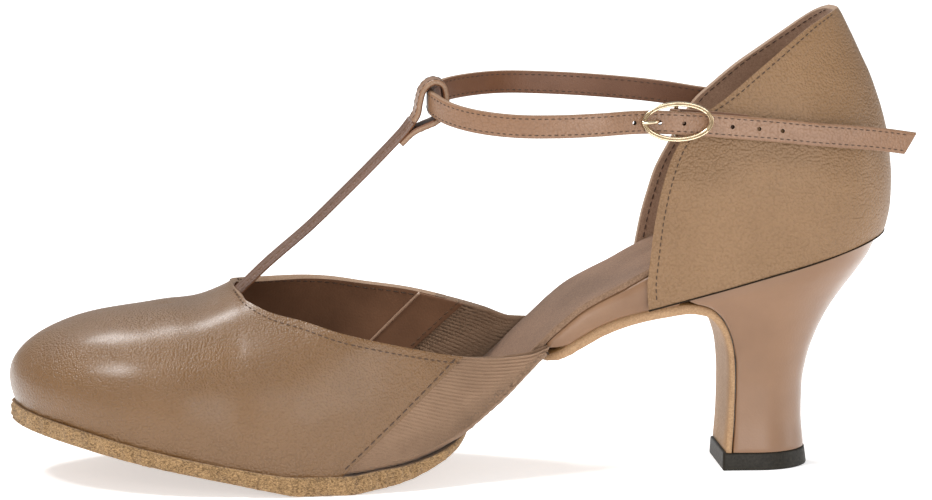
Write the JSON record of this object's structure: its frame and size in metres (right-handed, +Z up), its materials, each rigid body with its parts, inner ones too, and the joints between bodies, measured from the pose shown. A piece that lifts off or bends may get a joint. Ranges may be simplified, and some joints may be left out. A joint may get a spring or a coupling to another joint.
{
  "type": "t strap shoe",
  "caption": "Closed-toe leather pump with a covered heel, elastic side gores, split sole and a T strap looped round a buckled ankle strap.",
  "frame": {"origin": "centre of the heel tip's flat underside, on the floor", "axes": "+X to the back of the heel, +Y to the inner side of the foot, +Z up"},
  "size_m": [0.242, 0.0795, 0.1244],
  "materials": {
    "pebbled_leather": "fine pebbled, soft sheen",
    "elastic": "ribbed elastic webbing, matte",
    "suede": "suede, matte",
    "smooth_leather": "smooth, glossy",
    "rough_suede": "rough split, matte",
    "sole_leather": "dense, satin",
    "rubber": "matte",
    "strap_leather": "smooth, satin",
    "brass": "pale gold, polished"
  },
  "bodies": {
    "root": {"vamp": "pebbled_leather", "elastic_gore": "elastic", "quarter": "pebbled_leather", "insole": "suede", "arch_board": "smooth_leather", "forepart_sole": "rough_suede", "arch_sole": "sole_leather", "heel": "smooth_leather", "heel_tip": "rubber", "t_strap": "strap_leather", "ankle_strap": "strap_leather", "buckle_tab": "strap_leather", "buckle_frame": "brass", "buckle_prong": "brass"}
  },
  "joints": []
}
